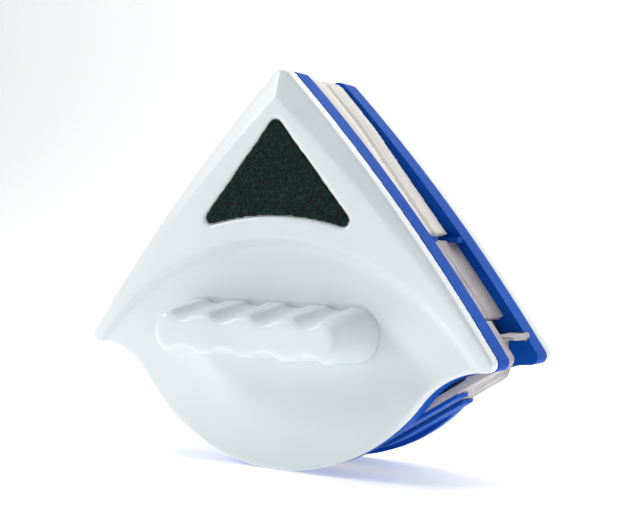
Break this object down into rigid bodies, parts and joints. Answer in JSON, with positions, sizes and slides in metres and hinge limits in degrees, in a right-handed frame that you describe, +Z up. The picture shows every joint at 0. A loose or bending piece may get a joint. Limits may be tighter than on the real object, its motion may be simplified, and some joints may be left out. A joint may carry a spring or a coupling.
{
  "type": "magnetic glass cleaner",
  "caption": "Triangular halves that cling together through a window pane, each with a cleaning pad, rubber wiper blades, a scouring patch and a finger-grooved grip.",
  "frame": {"origin": "on the glass plane between the halves, on the plane of symmetry, at the level of the two lower corners", "axes": "+Z up to the rounded apex; Y normal to the glass, front half at -Y and rear half at +Y; X across, along the grips"},
  "size_m": [0.177, 0.1028, 0.1509],
  "materials": {
    "white_plastic": "satin moulded ABS",
    "blue_plastic": "satin moulded ABS",
    "pad_fibre": "needled fibre pad",
    "scouring_fibre": "abrasive non-woven",
    "hook_tape": "hook tape",
    "blade_rubber": "matt silicone rubber",
    "magnet": "nickel plated",
    "iron": "zinc plated",
    "screw_steel": "zinc plated"
  },
  "bodies": {
    "front_half": {"front_cover": "white_plastic", "front_grip": "white_plastic", "front_grip_screws": "screw_steel", "front_patch_tape": "hook_tape", "front_base_plate": "blue_plastic", "front_cleaning_pad": "pad_fibre", "front_pad_tape": "hook_tape", "front_right_blade": "blade_rubber", "front_left_blade": "blade_rubber", "front_bottom_blade": "blade_rubber", "front_magnets": "magnet", "front_back_iron": "iron", "front_cover_screws": "screw_steel"},
    "rear_half": {"rear_cover": "white_plastic", "rear_grip": "white_plastic", "rear_grip_screws": "screw_steel", "rear_patch_tape": "hook_tape", "rear_base_plate": "blue_plastic", "rear_cleaning_pad": "pad_fibre", "rear_pad_tape": "hook_tape", "rear_right_blade": "blade_rubber", "rear_left_blade": "blade_rubber", "rear_bottom_blade": "blade_rubber", "rear_magnets": "magnet", "rear_back_iron": "iron", "rear_cover_screws": "screw_steel"},
    "front_patch": {"front_scouring_patch": "scouring_fibre"},
    "rear_patch": {"rear_scouring_patch": "scouring_fibre"}
  },
  "joints": [
    {"name": "rear_lift", "type": "slide", "parent": "front_half", "child": "rear_half", "axis": [0, 1, 0], "range_m": [0, 0.06]},
    {"name": "front_patch_lift", "type": "slide", "parent": "front_half", "child": "front_patch", "axis": [0, -1, 0], "range_m": [0, 0.03]},
    {"name": "rear_patch_lift", "type": "slide", "parent": "rear_half", "child": "rear_patch", "axis": [0, 1, 0], "range_m": [0, 0.03]}
  ]
}
